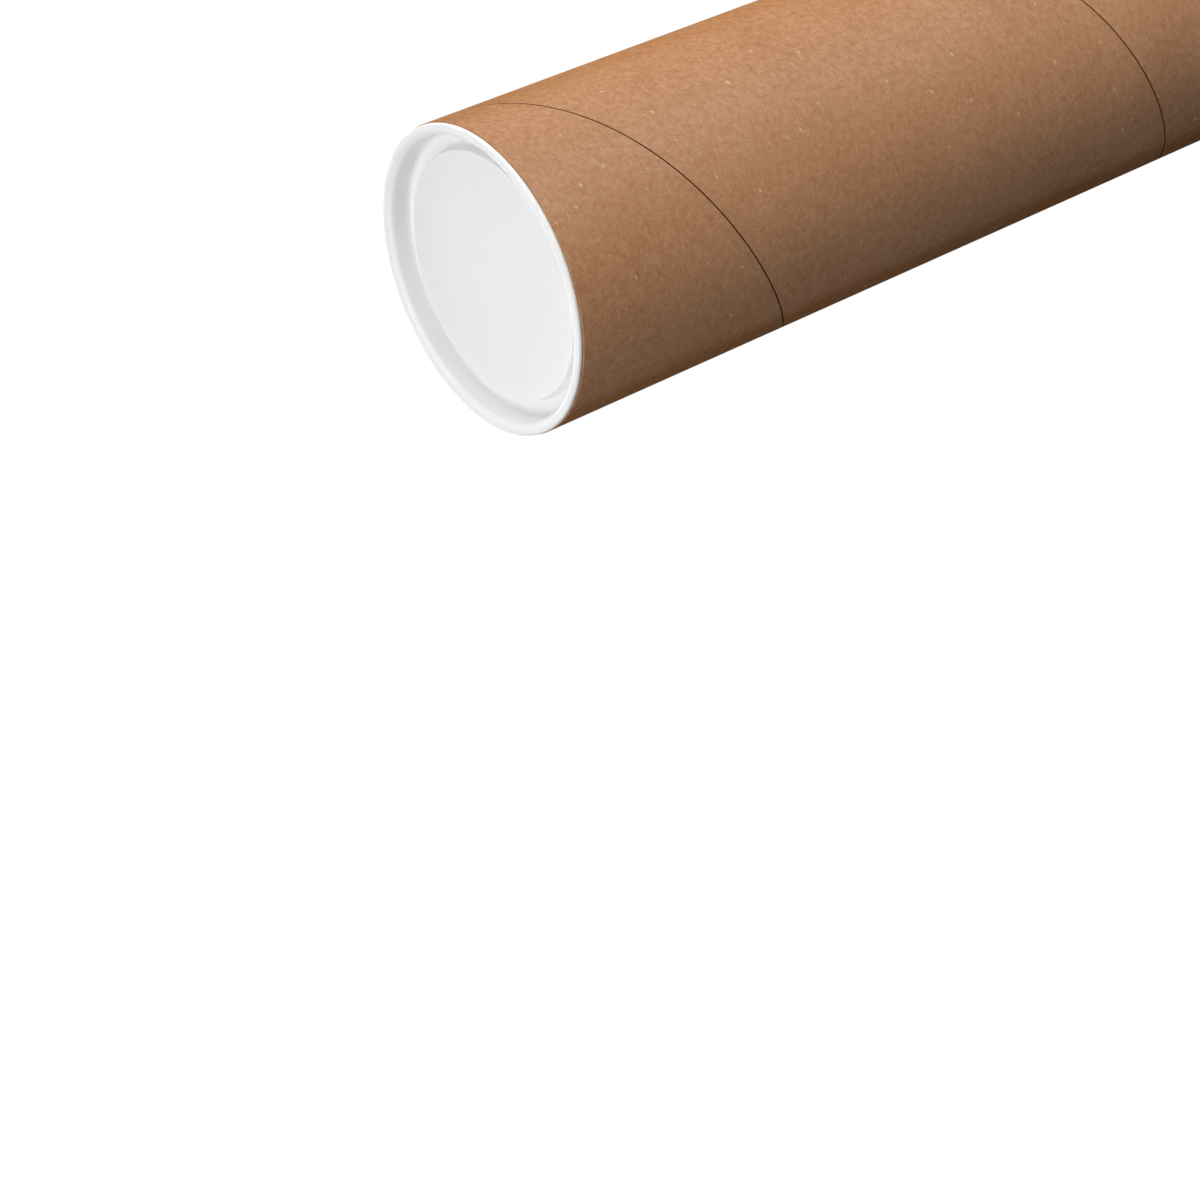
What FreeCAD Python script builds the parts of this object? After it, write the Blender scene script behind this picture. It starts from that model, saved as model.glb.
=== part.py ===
import FreeCAD, Part
import Sketcher
import math
import os

# A spiral-wound cardboard mailing tube, closed at each end by a push-in plastic cap.
# It stands on its bottom cap. The origin is the middle of the bottom cap's rim, and +Z runs up the tube's axis.
# Lengths are millimetres.

# Driving dimensions: alias, value, what it measures
DIMENSIONS = [
    ("tube_diameter", 80.0, "outside diameter of the wound tube"),
    ("tube_wall", 2.0, "thickness of the glued paper plies"),
    ("tube_length", 660.0, "length of the tube between its cut ends"),
    ("seam_pitch", 140.0, "climb of the outer ply's butt seam in one turn"),
    ("seam_gap", 0.4, "width of the gap left between the outer ply's edges"),
    ("seam_depth", 0.3, "thickness of the outer ply, so the depth of the gap"),
    ("seam_offset", 7.2, "how far below the top end the seam crosses the +X side"),
    ("fit_clearance", 0.1, "gap on each side between a plug and the bore"),
    ("flange_setback", 0.2, "how far a flange's edge lies inside the tube's outside"),
    ("flange_thickness", 1.2, "thickness of a cap's flange, which covers the tube's end"),
    ("plug_depth", 18.0, "how far a plug reaches into the tube"),
    ("plug_wall", 1.1, "wall of a plug"),
    ("recess_depth", 7.2, "depth of the channel round a cap's panel, below the rim"),
    ("channel_width", 4.0, "width of that channel at its floor"),
    ("panel_rise", 3.2, "height of the raised panel above the channel's floor"),
    ("panel_draft", 0.7, "how far the panel's side leans over its height"),
    ("web_thickness", 1.2, "thickness of the panel and of the channel's floor"),
    ("lead_height", 1.5, "height of the taper at a plug's inner end"),
    ("lead_width", 0.5, "how far that taper narrows the plug"),
    ("rim_ease", 1.4, "how far the edge from a cap's rim into its recess is eased"),
    ("flange_ease", 0.45, "how far a flange's outer edge is eased, above and below"),
    ("panel_ease", 0.4, "how far the panel's edge and the channel's corners are eased"),
]

# The corners of a cap's section, from the panel's middle outwards and back along the inside.
# Radii are taken from the axis and heights from the plug's inner end. A radius of None lies on the axis.
PLUG_RADIUS = "Sizes.tube_diameter / 2 - Sizes.tube_wall - Sizes.fit_clearance"
RECESS_RADIUS = PLUG_RADIUS + " - Sizes.plug_wall"
CHANNEL_RADIUS = RECESS_RADIUS + " - Sizes.channel_width"
PANEL_RADIUS = CHANNEL_RADIUS + " - Sizes.panel_draft"
FLANGE_RADIUS = "Sizes.tube_diameter / 2 - Sizes.flange_setback"
RIM_HEIGHT = "Sizes.plug_depth + Sizes.flange_thickness"
CHANNEL_HEIGHT = RIM_HEIGHT + " - Sizes.recess_depth"
PANEL_HEIGHT = CHANNEL_HEIGHT + " + Sizes.panel_rise"
CAP_SECTION = [
    ("panel_middle", None, PANEL_HEIGHT),
    ("panel_edge", PANEL_RADIUS, PANEL_HEIGHT),
    ("channel_inner", CHANNEL_RADIUS, CHANNEL_HEIGHT),
    ("channel_outer", RECESS_RADIUS, CHANNEL_HEIGHT),
    ("rim_inner", RECESS_RADIUS, RIM_HEIGHT),
    ("rim_outer", FLANGE_RADIUS, RIM_HEIGHT),
    ("flange_seat", FLANGE_RADIUS, "Sizes.plug_depth"),
    ("plug_root", PLUG_RADIUS, "Sizes.plug_depth"),
    ("lead_start", PLUG_RADIUS, "Sizes.lead_height"),
    ("lead_end", PLUG_RADIUS + " - Sizes.lead_width", "0"),
    ("plug_end", RECESS_RADIUS, "0"),
    ("web_outer", RECESS_RADIUS, CHANNEL_HEIGHT + " - Sizes.web_thickness"),
    ("web_step", CHANNEL_RADIUS + " - Sizes.web_thickness", CHANNEL_HEIGHT + " - Sizes.web_thickness"),
    ("panel_under", PANEL_RADIUS + " - Sizes.web_thickness", PANEL_HEIGHT + " - Sizes.web_thickness"),
    ("web_middle", None, PANEL_HEIGHT + " - Sizes.web_thickness"),
]

# Where each part sits on the axis
TUBE_BASE = "Sizes.flange_thickness"
TOP_CAP_BASE = "Sizes.flange_thickness + Sizes.tube_length - Sizes.plug_depth"
BOTTOM_CAP_BASE = "Sizes.flange_thickness + Sizes.plug_depth"

# The seam starts a whole number of turns under the place where it crosses the top end's +X side
SEAM_TURNS = "(floor((Sizes.tube_length - Sizes.seam_offset) / Sizes.seam_pitch) + 1)"
SEAM_START = "Sizes.tube_length - Sizes.seam_offset - " + SEAM_TURNS + " * Sizes.seam_pitch"
SEAM_CLIMB = "(" + SEAM_TURNS + " + 1) * Sizes.seam_pitch"


def fill_sheet(doc):
    """Write the driving dimensions into the document's sheet."""
    sheet = doc.addObject("Spreadsheet::Sheet", "Sizes")
    for row, (alias, value, meaning) in enumerate(DIMENSIONS, 1):
        sheet.set("A%d" % row, meaning)
        sheet.set("B%d" % row, str(value))
        sheet.setAlias("B%d" % row, alias)
    doc.recompute()


def new_sketch(body, name, plane_role):
    """Start a sketch on one of the body's own origin planes."""
    planes = [plane for plane in body.Origin.OriginFeatures if plane.Role == plane_role]
    sketch = body.newObject("Sketcher::SketchObject", name)
    sketch.AttachmentSupport = [(planes[0], "")]
    sketch.MapMode = "FlatFace"
    return sketch


def dimension(sketch, name, expression, constraint):
    """Add a dimension to a sketch and bind it to the sheet."""
    index = sketch.addConstraint(constraint)
    sketch.renameConstraint(index, name)
    sketch.setExpression("Constraints." + name, expression)


def draw_outline(sketch, corners):
    """Draw a closed outline whose corners are each held by a radius and a height."""
    count = len(corners)
    turn = 2 * math.pi / count
    places = [FreeCAD.Vector(2 + math.cos(i * turn), 2 + math.sin(i * turn), 0) for i in range(count)]
    for i in range(count):
        sketch.addGeometry(Part.LineSegment(places[i], places[(i + 1) % count]))
    for i in range(count):
        sketch.addConstraint(Sketcher.Constraint("Coincident", i, 2, (i + 1) % count, 1))
    for i, (name, radius, height) in enumerate(corners):
        if radius is None:
            sketch.addConstraint(Sketcher.Constraint("PointOnObject", i, 1, -2))
        else:
            across = Sketcher.Constraint("DistanceX", -1, 1, i, 1, places[i].x)
            dimension(sketch, name + "_radius", radius, across)
        if height == "0":
            sketch.addConstraint(Sketcher.Constraint("PointOnObject", i, 1, -1))
        else:
            up = Sketcher.Constraint("DistanceY", -1, 1, i, 1, places[i].y)
            dimension(sketch, name + "_height", height, up)


def ease_corners(body, name, base, sketch, chosen, size):
    """Ease the circular edges that the chosen corners of the turned cap section make."""
    names = [corner[0] for corner in CAP_SECTION]
    spots = [sketch.getPoint(names.index(corner), 1) for corner in chosen]
    edges = []
    for number, edge in enumerate(base.Shape.Edges, 1):
        if not isinstance(edge.Curve, Part.Circle):
            continue
        for spot in spots:
            same_radius = abs(edge.Curve.Radius - spot.x) < 1e-4
            same_height = abs(edge.Curve.Center.z - spot.y) < 1e-4
            if same_radius and same_height:
                edges.append("Edge%d" % number)
    chamfer = body.newObject("PartDesign::Chamfer", name)
    chamfer.Base = (base, edges)
    chamfer.setExpression("Size", size)
    body.Document.recompute()
    return chamfer


def make_tube(doc):
    """The wound tube: a plain pipe whose outer ply leaves a fine helical gap."""
    body = doc.addObject("PartDesign::Body", "Tube")
    body.Label = "kraft_tube"

    ring = new_sketch(body, "TubeSection", "XY_Plane")
    centre = FreeCAD.Vector(0, 0, 0)
    up = FreeCAD.Vector(0, 0, 1)
    for i, (name, across) in enumerate([
        ("outside", "Sizes.tube_diameter"),
        ("bore", "Sizes.tube_diameter - 2 * Sizes.tube_wall"),
    ]):
        ring.addGeometry(Part.Circle(centre, up, 2.0 - i))
        ring.addConstraint(Sketcher.Constraint("Coincident", i, 3, -1, 1))
        dimension(ring, name, across, Sketcher.Constraint("Diameter", i, 4.0 - 2 * i))

    pipe = body.newObject("PartDesign::Pad", "Pipe")
    pipe.Profile = ring
    pipe.setExpression("Length", "Sizes.tube_length")
    doc.recompute()

    gap = new_sketch(body, "SeamSection", "XZ_Plane")
    gap.setExpression("AttachmentOffset.Base.y", SEAM_START)
    floor_radius = "Sizes.tube_diameter / 2 - Sizes.seam_depth"
    outer_radius = "Sizes.tube_diameter / 2 + Sizes.seam_depth"
    draw_outline(gap, [
        ("floor_low", floor_radius, "0"),
        ("outer_low", outer_radius, "0"),
        ("outer_high", outer_radius, "Sizes.seam_gap"),
        ("floor_high", floor_radius, "Sizes.seam_gap"),
    ])
    doc.recompute()

    seam = body.newObject("PartDesign::SubtractiveHelix", "Seam")
    seam.Profile = gap
    seam.ReferenceAxis = (gap, ["V_Axis"])
    seam.Mode = "pitch-height-angle"
    seam.setExpression("Pitch", "Sizes.seam_pitch")
    seam.setExpression("Height", SEAM_CLIMB)
    body.setExpression("Placement.Base.z", TUBE_BASE)
    doc.recompute()
    return body


def make_cap(doc, label, base_height, upside_down):
    """A moulded cap: flange, plug and recessed panel turned from one section."""
    body = doc.addObject("PartDesign::Body", label)
    body.Label = label

    section = new_sketch(body, "Section", "XZ_Plane")
    draw_outline(section, CAP_SECTION)
    doc.recompute()

    turned = body.newObject("PartDesign::Revolution", "Moulding")
    turned.Profile = section
    turned.ReferenceAxis = (section, ["V_Axis"])
    turned.Angle = 360
    doc.recompute()

    shape = turned
    for name, chosen, size in [
        ("RimEase", ["rim_inner"], "Sizes.rim_ease"),
        ("FlangeEase", ["rim_outer", "flange_seat"], "Sizes.flange_ease"),
        ("PanelEase", ["panel_edge", "channel_inner", "channel_outer"], "Sizes.panel_ease"),
    ]:
        shape = ease_corners(body, name, shape, section, chosen, size)

    if upside_down:
        body.Placement.Rotation = FreeCAD.Rotation(FreeCAD.Vector(1, 0, 0), 180)
    body.setExpression("Placement.Base.z", base_height)
    doc.recompute()
    return body


def check_document(doc, bodies):
    """Stop if any object failed, or if a part isn't one valid solid."""
    for item in doc.Objects:
        if "Invalid" in item.State or "Error" in item.State:
            raise RuntimeError("failed object: " + item.Label)
    for body in bodies:
        shape = body.Shape
        if shape.isNull() or not shape.isValid() or len(shape.Solids) != 1:
            raise RuntimeError("not one valid solid: " + body.Label)


def main():
    os.makedirs("parts", exist_ok=True)
    doc = FreeCAD.newDocument("MailingTube")
    fill_sheet(doc)
    bodies = [
        make_tube(doc),
        make_cap(doc, "top_cap", TOP_CAP_BASE, upside_down=False),
        make_cap(doc, "bottom_cap", BOTTOM_CAP_BASE, upside_down=True),
    ]
    doc.recompute()
    check_document(doc, bodies)
    for body in bodies:
        body.Shape.exportStep("parts/" + body.Label + ".step")
        box = body.Shape.BoundBox
        print("%s: %.1f mm3, z %.2f to %.2f" % (body.Label, body.Shape.Volume, box.ZMin, box.ZMax))


main()
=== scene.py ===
import math

import bmesh
import bpy
from mathutils import Matrix, Vector


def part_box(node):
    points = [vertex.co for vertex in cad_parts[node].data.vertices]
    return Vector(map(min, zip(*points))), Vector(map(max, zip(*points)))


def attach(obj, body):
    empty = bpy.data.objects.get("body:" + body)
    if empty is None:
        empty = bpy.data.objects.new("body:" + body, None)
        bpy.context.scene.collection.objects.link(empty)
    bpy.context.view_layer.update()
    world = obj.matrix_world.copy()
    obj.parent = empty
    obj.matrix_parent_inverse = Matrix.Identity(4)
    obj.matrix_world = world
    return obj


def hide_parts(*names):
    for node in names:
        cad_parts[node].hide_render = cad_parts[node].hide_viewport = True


# The looks of a spiral-wound mailing tube that stands on its bottom cap. Lengths are metres.

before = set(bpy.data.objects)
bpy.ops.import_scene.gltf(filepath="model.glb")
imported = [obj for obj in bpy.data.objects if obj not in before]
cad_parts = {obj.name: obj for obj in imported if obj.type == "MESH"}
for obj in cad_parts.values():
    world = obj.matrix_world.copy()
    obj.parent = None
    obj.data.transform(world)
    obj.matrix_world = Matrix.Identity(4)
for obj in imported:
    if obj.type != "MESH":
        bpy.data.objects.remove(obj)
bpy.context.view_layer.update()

MM = 0.001
WHITE = (1, 1, 1, 1)

# Points in one turn of the tube and of the caps
AROUND = 256

# The tube and the caps' reach, from the frame
tube_low, tube_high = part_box("kraft_tube")
cap_low, cap_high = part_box("top_cap")
TUBE_RADIUS = (tube_high.x - tube_low.x) / 2
FLANGE_RADIUS = (cap_high.x - cap_low.x) / 2
TOP = cap_high.z

# The wound wall, one of the plies in it, and the seam where a ply's edges meet
WALL = 2.0 * MM
PLY = 0.4 * MM
PITCH = 140.0 * MM
SEAM_GAP = 0.4 * MM
SEAM_DEPTH = 0.3 * MM
SEAM_BELOW_END = 7.2 * MM

# The eased lip on each side of the seam, the narrow strip beside it, and the strips across the rest of a ply
LIP = 0.07 * MM
LIP_DROP = 0.03 * MM
GUARD = 0.15 * MM
COLUMNS = 9

# How far the winding starts below the tube, in turns, and ends above it, before it is cut to length
START_TURNS = 1.05
RUN_OUT = 2 * MM

# The rounding of the cut ends
EDGE_ROUND = 0.22 * MM
EDGE_STEPS = 4

# How near the plane of a cut a point counts as lying on it, while cutting and afterwards
CUT_REACH = 1e-7
ON_CUT = 1e-6

# Which of the tube's materials a face has
OUTSIDE = 0
SEAM = 1
CUT_EDGE = 2
INSIDE = 3

# The cap's section, in millimetres: radii, its wall, depths below the rim, and the lead-in at its end
RECESS = 36.8
PLUG = 37.9
CHANNEL = 32.8
PANEL = 32.1
WEB = 1.2
PANEL_DEPTH = 4.0
CHANNEL_DEPTH = 7.2
FLANGE = 1.2
PLUG_END = 19.2
LEAD = 0.5
LEAD_RISE = 1.5

# Its corners: radius, depth and rounding
CAP_SECTION = [
    (0, PANEL_DEPTH, 0),
    (PANEL, PANEL_DEPTH, 0.4),
    (CHANNEL, CHANNEL_DEPTH, 0.5),
    (RECESS, CHANNEL_DEPTH, 1.4),
    (RECESS, 0, 1.6),
    (FLANGE_RADIUS / MM, 0, 0.55),
    (FLANGE_RADIUS / MM, FLANGE, 0.5),
    (PLUG, FLANGE, 0),
    (PLUG, PLUG_END - LEAD_RISE, 0.5),
    (PLUG - LEAD, PLUG_END, 0.25),
    (RECESS, PLUG_END, 0.25),
    (RECESS, CHANNEL_DEPTH + WEB, 0.4),
    (CHANNEL - WEB, CHANNEL_DEPTH + WEB, 0.4),
    (PANEL - WEB, PANEL_DEPTH + WEB, 0.4),
    (0, PANEL_DEPTH + WEB, 0),
]

# Steps in the arc of a corner, and how far before and after it a ring keeps the flat beside it flat
ARC_STEPS = 6
ARC_GUARD = 0.06

# The camera: where it stands from the middle of the top cap's rim, and how it is turned, in degrees
CAMERA_OUT = 612.1 * MM
CAMERA_ABOVE = 354.6 * MM
CAMERA_HEADING = 7.72
CAMERA_PITCH = -29.73
CAMERA_ROLL = -116.06
LENS_MM = 86.93
SENSOR_MM = 36
FARTHEST_SEEN = 50

# The lamps: name, height of the aim, azimuth and elevation in degrees, distance, width, height, power
LAMPS = [
    ("key", 0.45, -44, 0, 0.65, 0.35, 0.85, 4.1),
    ("rim", 0.45, 22, 5, 0.8, 0.3, 0.85, 3.2),
    ("middle", 0.56, -45, 40, 1.3, 0.7, 0.7, 1.7),
    ("top", 0.56, -36, 80, 1.3, 0.8, 0.8, 3.6),
    ("end_fill", 0.66, -148, 66, 0.4, 0.5, 0.5, 1.3),
    ("back_fill", 0.45, 85, 5, 1.8, 0.5, 1.2, 10),
    ("under", 0.0, 0, -90, 0.9, 0.5, 0.5, 3.5),
]

# The even light from all round
AMBIENT = 0.01

# The floor: its size, its colour, how much it glows of its own, and where it starts and ends fading to white
FLOOR_RADIUS = 6.0
FLOOR_SIDES = 64
FLOOR_COLOUR = (0.55, 0.55, 0.55, 1)
FLOOR_GLOW = 0.72
FLOOR_FADE = (0.22, 0.62)

# Kraft paper outside and inside the tube: dark, middle and light
KRAFT_TONES = ((0.335, 0.14, 0.052), (0.435, 0.21, 0.094), (0.54, 0.29, 0.148))
INNER_TONES = ((0.33, 0.17, 0.085), (0.42, 0.235, 0.125), (0.51, 0.30, 0.17))

# The paper's mottle: how strongly each kind shows, and its size
CLOUD = 0.35
CLOUD_SIZE = 22 * MM
PULP = 2.85
PULP_SIZE = 2.0 * MM
FIBRE = 0.5
FIBRE_LENGTH = 3.5 * MM
FIBRE_WIDTH = 0.35 * MM

# The paper's flecks: spacing, length, width, and the share of the places that hold one
PALE_FLECKS = (9 * MM, 1.0 * MM, 0.6 * MM, 0.4)
PALE_COLOUR = (0.72, 0.5, 0.3, 1)
PALE_STRENGTH = 0.8
DARK_FLECKS = (6 * MM, 1.0 * MM, 0.3 * MM, 0.4)
DARK_COLOUR = (0.16, 0.08, 0.04, 1)
DARK_STRENGTH = 0.7

# How far a fleck's outline is bent, in its own widths, and how closely the bends follow each other
FLECK_BEND = 8
FLECK_BEND_SCALE = 0.7

# Gloss, and the share of turning away from the eye over which the paper loses it
KRAFT_GLOSS = 0.45
GLOSS_FADE = (0.1, 0.75)
PLASTIC_GLOSS = 0.22

# The seam's floor, painted as shade, and the board's cut edge: dark and light, with the glue between the
# plies
SEAM_SHADE_DARK = (0.03, 0.014, 0.006, 1)
SEAM_SHADE_LIGHT = (0.06, 0.03, 0.014, 1)
BOARD_DARK = (0.42, 0.23, 0.115, 1)
BOARD_LIGHT = (0.66, 0.40, 0.22, 1)
GLUE_COLOUR = (0.22, 0.11, 0.05, 1)
GLUE_STRENGTH = 0.55

# White plastic: dark and light
PLASTIC_DARK = (0.925, 0.925, 0.926, 1)
PLASTIC_LIGHT = (0.945, 0.945, 0.945, 1)


def new_piece(name, mesh, body, node):
    """Put a mesh in the scene as the piece that stands for a CAD node."""
    piece = bpy.data.objects.new(name, mesh)
    bpy.context.scene.collection.objects.link(piece)
    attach(piece, body)
    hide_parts(node)
    return piece


def finish_mesh(bm, name, crease):
    """Turn a bmesh into a smooth mesh whose corners sharper than the crease, in degrees, stay crisp."""
    bmesh.ops.recalc_face_normals(bm, faces=bm.faces)
    mesh = bpy.data.meshes.new(name)
    bm.to_mesh(mesh)
    bm.free()
    mesh.shade_smooth()
    mesh.set_sharp_from_angle(angle=math.radians(crease))
    return mesh


def ply_columns(radius, inward):
    """Climb and radius across one ply, from the floor of its seam to the next turn's."""
    floor = radius - inward * SEAM_DEPTH
    lip = radius - inward * LIP_DROP
    first = SEAM_GAP + LIP + GUARD
    last = PITCH - LIP - GUARD
    columns = [
        (0, floor),
        (SEAM_GAP, floor),
        (SEAM_GAP, lip),
        (SEAM_GAP + LIP, radius),
    ]
    for i in range(COLUMNS + 1):
        columns.append((first + (last - first) * i / COLUMNS, radius))
    columns.append((PITCH - LIP, radius))
    columns.append((PITCH, lip))
    return columns


def wind_ply(bm, uv, radius, inward, crossing, paper):
    """Wind one ply of paper up the tube, with a gap where its edges meet."""
    columns = ply_columns(radius, inward)
    start = tube_low.z - PITCH * START_TURNS
    first_row = math.floor((start - crossing) / PITCH * AROUND)
    rows = math.ceil((tube_high.z + RUN_OUT - crossing) / PITCH * AROUND) - first_row
    rise = PITCH / (2 * math.pi)
    slant = math.hypot(radius, rise)
    grid = []
    for row in range(rows + 1):
        angle = 2 * math.pi * (first_row + row) / AROUND
        seam = crossing + PITCH * (first_row + row) / AROUND
        line = []
        for climb, reach in columns:
            place = (reach * math.cos(angle), reach * math.sin(angle), seam + climb)
            line.append(bm.verts.new(place))
        grid.append(line)

    def unrolled(row, climb):
        """Where a point lies on the flat paper: along the ply and across it."""
        across = 2 * math.pi * (first_row + row) / AROUND * radius
        up = crossing + PITCH * (first_row + row) / AROUND + climb
        return ((across * radius + up * rise) / slant, (up * radius - across * rise) / slant)

    # The last column of each turn joins the first column of the next turn, where there is one
    count = len(columns)
    for row in range(rows):
        for column in range(count):
            wraps = column + 1 == count
            if wraps and row + 1 + AROUND > rows:
                continue
            near, far = grid[row][column], grid[row + 1][column]
            if wraps:
                near_next, far_next = grid[row + AROUND][0], grid[row + 1 + AROUND][0]
                next_climb = PITCH
            else:
                near_next, far_next = grid[row][column + 1], grid[row + 1][column + 1]
                next_climb = columns[column + 1][0]
            face = bm.faces.new((near, far, far_next, near_next))
            climb = columns[column][0]
            spots = [(row, climb), (row + 1, climb), (row + 1, next_climb), (row, next_climb)]
            for loop, spot in zip(face.loops, spots):
                loop[uv].uv = unrolled(*spot)
            # The seam's floor and walls take the material painted dark as the groove's shade
            if column in (0, 1) or wraps:
                face.material_index = SEAM
            else:
                face.material_index = paper


def cut(bm, height, side):
    """Cut the wall flat across. A side of 1 drops what is above, -1 what is below, and 0 nothing."""
    everything = bm.verts[:] + bm.edges[:] + bm.faces[:]
    bmesh.ops.bisect_plane(
        bm, geom=everything, dist=CUT_REACH, plane_co=(0, 0, height), plane_no=(0, 0, 1),
        clear_outer=side > 0, clear_inner=side < 0,
    )


def edge_insets():
    """How far in from each end the wall is cut across, to give its rounded edge rows of points."""
    turns = [step * math.pi / 2 / EDGE_STEPS for step in range(1, EDGE_STEPS + 1)]
    insets = [EDGE_ROUND * (1 - math.cos(turn)) for turn in turns]
    return insets + [EDGE_ROUND * 2]


def round_ends(bm):
    """Draw the points near each end into the wall, along the arc of its rounded edge."""
    middle = TUBE_RADIUS - WALL / 2
    for vert in bm.verts:
        radius = math.hypot(vert.co.x, vert.co.y)
        from_end = min(tube_high.z - vert.co.z, vert.co.z - tube_low.z)
        if from_end >= EDGE_ROUND:
            continue
        away = EDGE_ROUND - from_end
        drop = EDGE_ROUND - math.sqrt(max(EDGE_ROUND ** 2 - away ** 2, 0))
        wanted = radius - drop if radius > middle else radius + drop
        vert.co.x *= wanted / radius
        vert.co.y *= wanted / radius


def close_end(bm, height):
    """Fill the ring between the outer and the inner ply at one end with the board's cut edge."""
    rim = []
    for edge in bm.edges:
        if edge.is_boundary and all(abs(vert.co.z - height) < ON_CUT for vert in edge.verts):
            rim.append(edge)
    made = bmesh.ops.triangle_fill(bm, edges=rim, use_beauty=True, normal=(0, 0, 1))
    for face in made["geom"]:
        if isinstance(face, bmesh.types.BMFace):
            face.material_index = CUT_EDGE


def make_tube(materials):
    """The wound wall: an outer and an inner ply, cut square and closed by the board's edge."""
    bm = bmesh.new()
    uv = bm.loops.layers.uv.new("ply")
    crossing = tube_high.z - SEAM_BELOW_END
    wind_ply(bm, uv, TUBE_RADIUS, 1, crossing, OUTSIDE)
    wind_ply(bm, uv, TUBE_RADIUS - WALL, -1, crossing + PITCH / 2, INSIDE)
    cut(bm, tube_high.z, 1)
    cut(bm, tube_low.z, -1)
    for inset in edge_insets():
        cut(bm, tube_high.z - inset, 0)
        cut(bm, tube_low.z + inset, 0)
    round_ends(bm)
    close_end(bm, tube_low.z)
    close_end(bm, tube_high.z)
    mesh = finish_mesh(bm, "wound_wall", crease=35)
    for material in materials:
        mesh.materials.append(material)
    return new_piece("wound_wall", mesh, "tube", "kraft_tube")


def rounded(corners):
    """The points of a section whose corners are arcs of the radii they state."""
    points = []
    for i, (x, y, size) in enumerate(corners):
        here = Vector((x, y))
        if size == 0:
            points.append(here)
            continue
        before = (Vector(corners[i - 1][:2]) - here).normalized()
        after = (Vector(corners[i + 1][:2]) - here).normalized()
        half = before.angle(after) / 2
        reach = size / math.tan(half)
        centre = here + (before + after).normalized() * size / math.sin(half)
        start, end = here + before * reach - centre, here + after * reach - centre
        points.append(here + before * (reach + ARC_GUARD))
        for step in range(ARC_STEPS + 1):
            share = step / ARC_STEPS
            swing = start.lerp(end, share).normalized() * size
            points.append(centre + swing)
        points.append(here + after * (reach + ARC_GUARD))
    return points


def make_cap(name, node, body, rim, outward, material):
    """One moulding turned from the section: rim is its rim's height, and outward is 1 up or -1 down."""
    bm = bmesh.new()
    rings = []
    for radius, depth in rounded(CAP_SECTION):
        height = rim - outward * depth * MM
        if radius == 0:
            rings.append([bm.verts.new((0, 0, height))] * AROUND)
            continue
        ring = []
        for step in range(AROUND):
            angle = 2 * math.pi * step / AROUND
            place = (radius * MM * math.cos(angle), radius * MM * math.sin(angle), height)
            ring.append(bm.verts.new(place))
        rings.append(ring)
    for inner, outer in zip(rings, rings[1:]):
        for step in range(AROUND):
            after = (step + 1) % AROUND
            corners = [inner[step], inner[after], outer[after], outer[step]]
            bm.faces.new(list(dict.fromkeys(corners)))
    mesh = finish_mesh(bm, name, crease=50)
    mesh.materials.append(material)
    return new_piece(name, mesh, body, node)


def add_node(tree, kind, inputs=None, **settings):
    """Add a shader node. Its inputs are given by name, as a value or as another node's socket."""
    node = tree.nodes.new(kind)
    for name, value in settings.items():
        setattr(node, name, value)
    for name, value in (inputs or {}).items():
        if isinstance(value, bpy.types.NodeSocket):
            tree.links.new(value, node.inputs[name])
        else:
            node.inputs[name].default_value = value
    return node


def new_material(name):
    """An empty material with its output node."""
    material = bpy.data.materials.new(name)
    material.use_nodes = True
    tree = material.node_tree
    tree.nodes.clear()
    output = tree.nodes.new("ShaderNodeOutputMaterial")
    return material, tree, output


def math_node(tree, operation, first, second=0.0):
    """One sum, product or other operation on two numbers."""
    node = add_node(tree, "ShaderNodeMath", {0: first, 1: second}, operation=operation)
    return node.outputs[0]


def object_place(tree):
    """The place of a point on the piece, in metres."""
    return add_node(tree, "ShaderNodeTexCoord").outputs["Object"]


def flat_paper(tree):
    """The place of a point on the flat paper, in metres along the ply and across it."""
    return add_node(tree, "ShaderNodeUVMap", uv_map="ply").outputs["UV"]


def scaled_to(tree, vector, size):
    """Texture coordinates in which features of these sizes, in metres, are about one unit."""
    scale = [1 / length for length in size]
    return add_node(tree, "ShaderNodeMapping", {"Vector": vector, "Scale": scale}).outputs[0]


def cloudy(tree, vector, strength, detail, rough):
    """Noise about zero, as tall as its strength. Roughness is how much the finer octaves keep."""
    noise = add_node(tree, "ShaderNodeTexNoise", {
        "Vector": vector, "Scale": 1, "Detail": detail, "Roughness": rough,
    })
    swing = math_node(tree, "SUBTRACT", noise.outputs["Fac"], 0.5)
    return math_node(tree, "MULTIPLY", swing, strength)


def flecks(tree, flat, spacing, length, width, share):
    """A mask of sparse flecks: each square of the spacing may hold one, and the share says how many do."""
    squares = scaled_to(tree, flat, (spacing, spacing, 1))
    wobble = add_node(tree, "ShaderNodeTexNoise", {"Vector": squares, "Scale": FLECK_BEND_SCALE})
    swing = math_node(tree, "SUBTRACT", wobble.outputs["Fac"], 0.5)
    swing = math_node(tree, "MULTIPLY", swing, width * FLECK_BEND)
    bent = add_node(tree, "ShaderNodeVectorMath", {0: flat, 1: swing}, operation="ADD").outputs[0]
    stretch = length / width
    cells = scaled_to(tree, bent, (spacing * stretch ** 0.5, spacing / stretch ** 0.5, 1))
    cell = add_node(tree, "ShaderNodeTexVoronoi", {"Vector": cells, "Scale": 1}, voronoi_dimensions="2D")
    chance = add_node(tree, "ShaderNodeSeparateColor", {"Color": cell.outputs["Color"]})
    reach = math_node(tree, "MULTIPLY", chance.outputs[1], width * stretch ** 0.5 / spacing)
    near = add_node(tree, "ShaderNodeMapRange", {
        "Value": cell.outputs["Distance"],
        "From Min": 0, "From Max": reach, "To Min": 1, "To Max": 0,
    })
    chosen = math_node(tree, "LESS_THAN", chance.outputs[0], share)
    return math_node(tree, "MULTIPLY", near.outputs[0], chosen)


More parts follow.
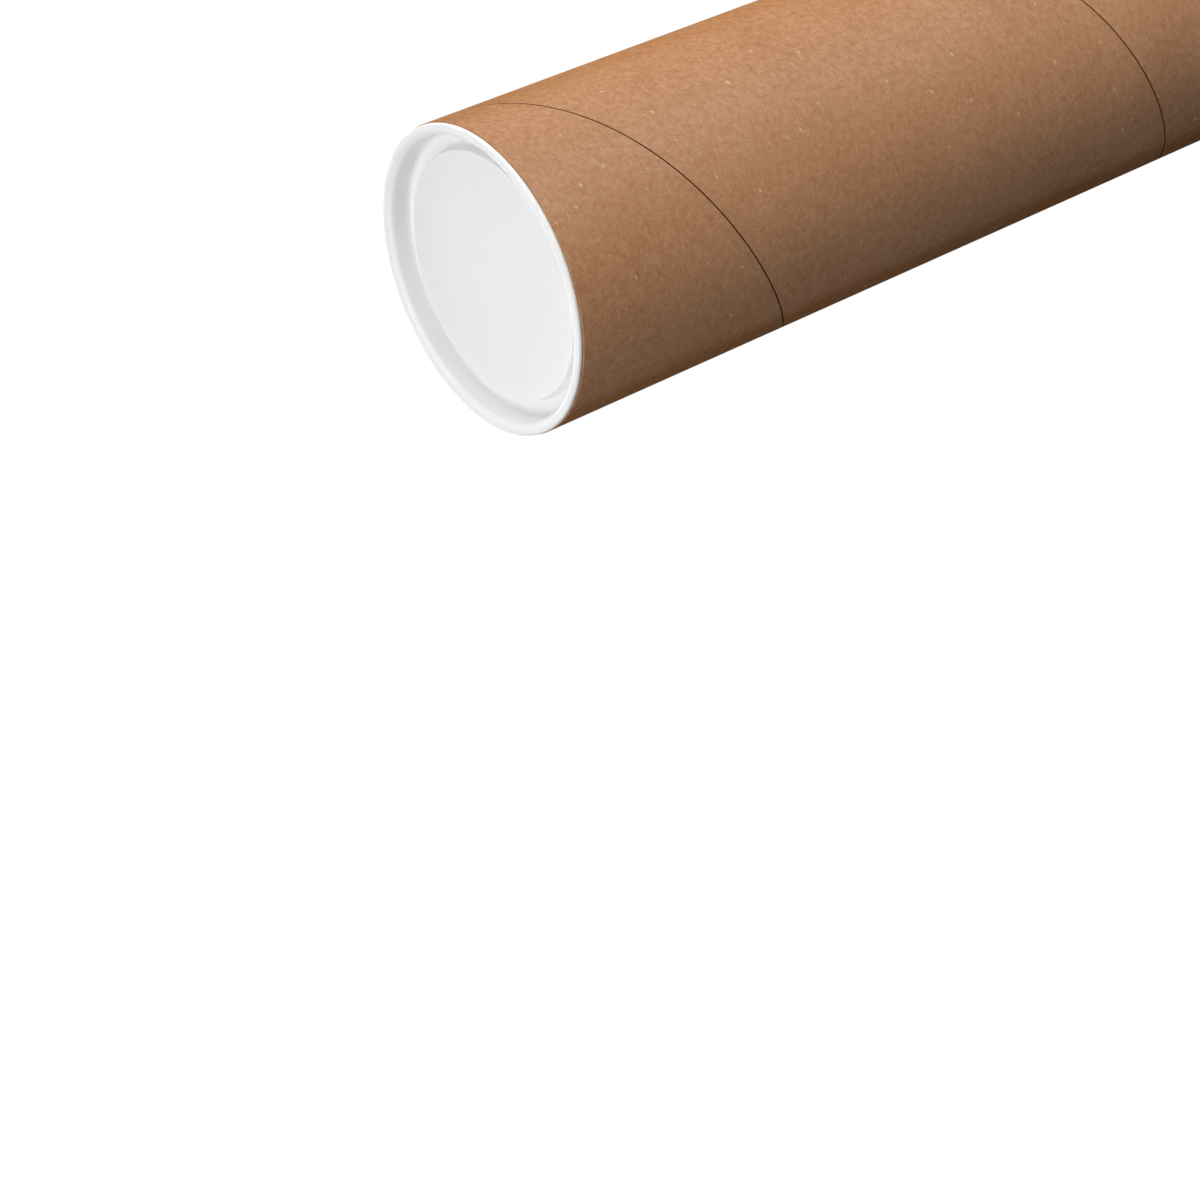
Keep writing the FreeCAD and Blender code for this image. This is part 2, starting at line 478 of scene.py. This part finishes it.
def blend(tree, share, first, second):
    """One colour over another, by a share from 0 to 1. The node's colours go in at 6 and 7 and out at 2."""
    node = add_node(tree, "ShaderNodeMix", data_type="RGBA")
    for socket, value in ((0, share), (6, first), (7, second)):
        if isinstance(value, bpy.types.NodeSocket):
            tree.links.new(value, node.inputs[socket])
        else:
            node.inputs[socket].default_value = value
    return node.outputs[2]


def kraft_paper(name, dark, middle, light):
    """Unbleached paper: mottled pulp, long fibres along the ply, and a few pale and dark flecks."""
    material, tree, output = new_material(name)
    place = object_place(tree)
    flat = flat_paper(tree)
    cloud = cloudy(tree, scaled_to(tree, place, (CLOUD_SIZE,) * 3), CLOUD, detail=2, rough=0.5)
    pulp = cloudy(tree, scaled_to(tree, place, (PULP_SIZE,) * 3), PULP, detail=6, rough=0.95)
    strands = scaled_to(tree, flat, (FIBRE_LENGTH, FIBRE_WIDTH, 1))
    fibre = cloudy(tree, strands, FIBRE, detail=2, rough=0.5)
    mottle = math_node(tree, "ADD", cloud, pulp)
    tone = math_node(tree, "ADD", mottle, math_node(tree, "ADD", fibre, 0.5))
    ramp = add_node(tree, "ShaderNodeValToRGB", {"Fac": tone})
    ramp.color_ramp.elements[0].color = (*dark, 1)
    ramp.color_ramp.elements[1].color = (*light, 1)
    ramp.color_ramp.elements.new(0.5).color = (*middle, 1)
    pale = math_node(tree, "MULTIPLY", flecks(tree, flat, *PALE_FLECKS), PALE_STRENGTH)
    deep = math_node(tree, "MULTIPLY", flecks(tree, flat, *DARK_FLECKS), DARK_STRENGTH)
    colour = blend(tree, pale, ramp.outputs["Color"], PALE_COLOUR)
    colour = blend(tree, deep, colour, DARK_COLOUR)
    bump = add_node(tree, "ShaderNodeBump", {"Strength": 0.5, "Distance": 0.06 * MM, "Height": tone})
    rough = add_node(tree, "ShaderNodeMapRange", {"Value": tone, "To Min": 0.6, "To Max": 0.46})
    shader = add_node(tree, "ShaderNodeBsdfPrincipled", {
        "Base Color": colour, "Roughness": rough.outputs[0], "Specular IOR Level": KRAFT_GLOSS,
        "Normal": bump.outputs["Normal"],
    })

    # The gloss fades where the paper turns away. The value set above stays for an export that drops the link
    angle = add_node(tree, "ShaderNodeLayerWeight", {"Blend": 0.5})
    gloss = add_node(tree, "ShaderNodeMapRange", {
        "Value": angle.outputs["Facing"],
        "From Min": GLOSS_FADE[0], "From Max": GLOSS_FADE[1], "To Min": KRAFT_GLOSS, "To Max": 0,
    }, interpolation_type="SMOOTHSTEP")
    tree.links.new(gloss.outputs[0], shader.inputs["Specular IOR Level"])
    tree.links.new(shader.outputs[0], output.inputs["Surface"])
    return material


def seam_shade():
    """The floor of the seam: the next ply down, painted near black as the shade in its narrow groove."""
    material, tree, output = new_material("seam")
    strands = scaled_to(tree, flat_paper(tree), (2 * MM, 0.2 * MM, 1))
    tone = cloudy(tree, strands, 1.0, detail=3, rough=0.6)
    tone = math_node(tree, "ADD", tone, 0.5)
    # Painted shade: the groove's floor and walls take a near-black colour for the shade in them
    colour = blend(tree, tone, SEAM_SHADE_DARK, SEAM_SHADE_LIGHT)
    shader = add_node(tree, "ShaderNodeBsdfPrincipled", {
        "Base Color": colour, "Roughness": 1.0, "Specular IOR Level": 0.0,
    })
    tree.links.new(shader.outputs[0], output.inputs["Surface"])
    return material


def board_edge():
    """The cut end of the board: pale fibres, with a thin dark line of glue between one ply and the next."""
    material, tree, output = new_material("board_edge")
    place = object_place(tree)
    level = add_node(tree, "ShaderNodeVectorMath", {0: place, 1: (1, 1, 0)}, operation="MULTIPLY")
    radius = add_node(tree, "ShaderNodeVectorMath", {0: level.outputs[0]}, operation="LENGTH")
    depth = math_node(tree, "SUBTRACT", TUBE_RADIUS, radius.outputs["Value"])
    plies = math_node(tree, "DIVIDE", depth, PLY)
    wander = cloudy(tree, scaled_to(tree, place, (4 * MM,) * 3), 0.25, detail=2, rough=0.6)
    within = math_node(tree, "FRACT", math_node(tree, "ADD", plies, wander))
    from_line = math_node(tree, "ABSOLUTE", math_node(tree, "SUBTRACT", within, 0.5))
    glue = add_node(tree, "ShaderNodeMapRange", {
        "Value": from_line, "From Min": 0.36, "From Max": 0.5,
    }).outputs[0]
    grain = cloudy(tree, scaled_to(tree, place, (0.35 * MM,) * 3), 1.2, detail=4, rough=0.7)
    grain = math_node(tree, "ADD", grain, 0.5)
    colour = blend(tree, grain, BOARD_DARK, BOARD_LIGHT)
    colour = blend(tree, math_node(tree, "MULTIPLY", glue, GLUE_STRENGTH), colour, GLUE_COLOUR)
    height = math_node(tree, "SUBTRACT", grain, glue)
    bump = add_node(tree, "ShaderNodeBump", {
        "Strength": 0.6, "Distance": 0.08 * MM, "Height": height,
    })
    shader = add_node(tree, "ShaderNodeBsdfPrincipled", {
        "Base Color": colour, "Roughness": 0.95, "Specular IOR Level": 0.1,
        "Normal": bump.outputs["Normal"],
    })
    tree.links.new(shader.outputs[0], output.inputs["Surface"])
    return material


def moulded_plastic():
    """White polyethylene: even colour, a soft gloss, a fine mould grain and a slow waviness."""
    material, tree, output = new_material("plastic")
    place = object_place(tree)
    grain = cloudy(tree, scaled_to(tree, place, (0.3 * MM,) * 3), 0.4, detail=3, rough=0.6)
    wave = cloudy(tree, scaled_to(tree, place, (14 * MM,) * 3), 3.0, detail=1, rough=0.5)
    tone = cloudy(tree, scaled_to(tree, place, (9 * MM,) * 3), 1.0, detail=4, rough=0.6)
    tone = math_node(tree, "ADD", tone, 0.5)
    colour = blend(tree, tone, PLASTIC_DARK, PLASTIC_LIGHT)
    bump = add_node(tree, "ShaderNodeBump", {
        "Strength": 0.35, "Distance": 0.03 * MM, "Height": math_node(tree, "ADD", grain, wave),
    })
    rough = add_node(tree, "ShaderNodeMapRange", {"Value": tone, "To Min": 0.42, "To Max": 0.34})
    shader = add_node(tree, "ShaderNodeBsdfPrincipled", {
        "Base Color": colour, "Roughness": rough.outputs[0], "Specular IOR Level": PLASTIC_GLOSS,
        "Subsurface Weight": 0.3, "Subsurface Radius": (1, 1, 1), "Subsurface Scale": 2 * MM,
        "Normal": bump.outputs["Normal"],
    })
    tree.links.new(shader.outputs[0], output.inputs["Surface"])
    return material


def camera_sees(tree):
    """A factor of 1 for what the camera sees straight or in gloss and glass."""
    path = add_node(tree, "ShaderNodeLightPath")
    seen = math_node(tree, "MAXIMUM", path.outputs["Is Camera Ray"], path.outputs["Is Glossy Ray"])
    return math_node(tree, "MAXIMUM", seen, path.outputs["Is Transmission Ray"])


def make_world():
    """White where it is seen, and a soft even light elsewhere."""
    world = bpy.data.worlds.new("studio")
    bpy.context.scene.world = world
    world.use_nodes = True
    tree = world.node_tree
    tree.nodes.clear()
    strength = add_node(tree, "ShaderNodeMapRange", {
        "Value": camera_sees(tree), "To Min": AMBIENT, "To Max": 1.0,
    })
    background = add_node(tree, "ShaderNodeBackground", {
        "Color": WHITE, "Strength": strength.outputs[0],
    })
    output = tree.nodes.new("ShaderNodeOutputWorld")
    tree.links.new(background.outputs[0], output.inputs["Surface"])


def add_light(name, aim, azimuth, elevation, distance, width, height, power):
    """A soft lamp that faces a point on the tube's axis, from a direction and a distance."""
    target = Vector((0, 0, aim))
    around, up = math.radians(azimuth), math.radians(elevation)
    level = math.cos(up)
    outward = Vector((math.cos(around) * level, math.sin(around) * level, math.sin(up)))
    lamp = bpy.data.lights.new(name, "AREA")
    lamp.shape = "RECTANGLE"
    lamp.size = width
    lamp.size_y = height
    lamp.energy = power
    holder = bpy.data.objects.new(name, lamp)
    holder.location = target + outward * distance
    holder.rotation_euler = outward.to_track_quat("Z", "Y").to_euler()
    holder.visible_camera = False
    bpy.context.scene.collection.objects.link(holder)


def floor_surface():
    """Pale and shadowed near the tube, white away from it, and clear from below and to the lamps."""
    material, tree, output = new_material("floor")
    seen = camera_sees(tree)
    away = add_node(tree, "ShaderNodeVectorMath", {0: object_place(tree)}, operation="LENGTH")
    fade = add_node(tree, "ShaderNodeMapRange", {
        "Value": away.outputs["Value"], "From Min": FLOOR_FADE[0], "From Max": FLOOR_FADE[1],
    })
    glow = add_node(tree, "ShaderNodeEmission", {
        "Color": WHITE, "Strength": math_node(tree, "MULTIPLY", seen, FLOOR_GLOW),
    })
    lit = add_node(tree, "ShaderNodeBsdfPrincipled", {
        "Base Color": FLOOR_COLOUR, "Roughness": 1.0, "Specular IOR Level": 0.0,
    })
    near = add_node(tree, "ShaderNodeAddShader", {0: lit.outputs[0], 1: glow.outputs[0]})
    white = add_node(tree, "ShaderNodeEmission", {"Color": WHITE, "Strength": 1.0})
    far = math_node(tree, "MULTIPLY", seen, fade.outputs[0])
    above = add_node(tree, "ShaderNodeMixShader", {0: far, 1: near.outputs[0], 2: white.outputs[0]})
    clear = add_node(tree, "ShaderNodeBsdfTransparent")
    below = add_node(tree, "ShaderNodeNewGeometry").outputs["Backfacing"]
    shadow = add_node(tree, "ShaderNodeLightPath").outputs["Is Shadow Ray"]
    passes = math_node(tree, "MAXIMUM", below, shadow)
    sheet = add_node(tree, "ShaderNodeMixShader", {0: passes, 1: above.outputs[0], 2: clear.outputs[0]})
    tree.links.new(sheet.outputs[0], output.inputs["Surface"])
    return material


def make_floor():
    """A plain pale floor that keeps the tube's shadow."""
    bm = bmesh.new()
    bmesh.ops.create_circle(bm, cap_ends=True, segments=FLOOR_SIDES, radius=FLOOR_RADIUS)
    mesh = bpy.data.meshes.new("floor")
    bm.to_mesh(mesh)
    bm.free()
    mesh.materials.append(floor_surface())
    floor = bpy.data.objects.new("floor", mesh)
    bpy.context.scene.collection.objects.link(floor)


def make_camera():
    """Stand the camera where the photo's stood, turned so that the tube lies as it does there."""
    camera = bpy.data.cameras.new("camera")
    camera.lens = LENS_MM
    camera.sensor_width = SENSOR_MM
    camera.clip_end = FARTHEST_SEEN
    holder = bpy.data.objects.new("camera", camera)
    turn = (
        Matrix.Rotation(math.radians(CAMERA_HEADING), 4, "Z")
        @ Matrix.Rotation(math.radians(90 + CAMERA_PITCH), 4, "X")
        @ Matrix.Rotation(math.radians(CAMERA_ROLL), 4, "Z")
    )
    holder.matrix_world = Matrix.Translation((0, -CAMERA_OUT, TOP + CAMERA_ABOVE)) @ turn
    bpy.context.scene.collection.objects.link(holder)
    bpy.context.scene.camera = holder


def main():
    """Make the tube and its two caps, then the studio and the camera."""
    kraft = kraft_paper("kraft", *KRAFT_TONES)
    inner = kraft_paper("inner_kraft", *INNER_TONES)
    make_tube([kraft, seam_shade(), board_edge(), inner])
    plastic = moulded_plastic()
    make_cap("top_plug", "top_cap", "top_cap", TOP, 1, plastic)
    make_cap("bottom_plug", "bottom_cap", "bottom_cap", 0, -1, plastic)
    make_world()
    for lamp in LAMPS:
        add_light(*lamp)
    make_floor()
    make_camera()
    bpy.context.scene.view_settings.view_transform = "Standard"


main()
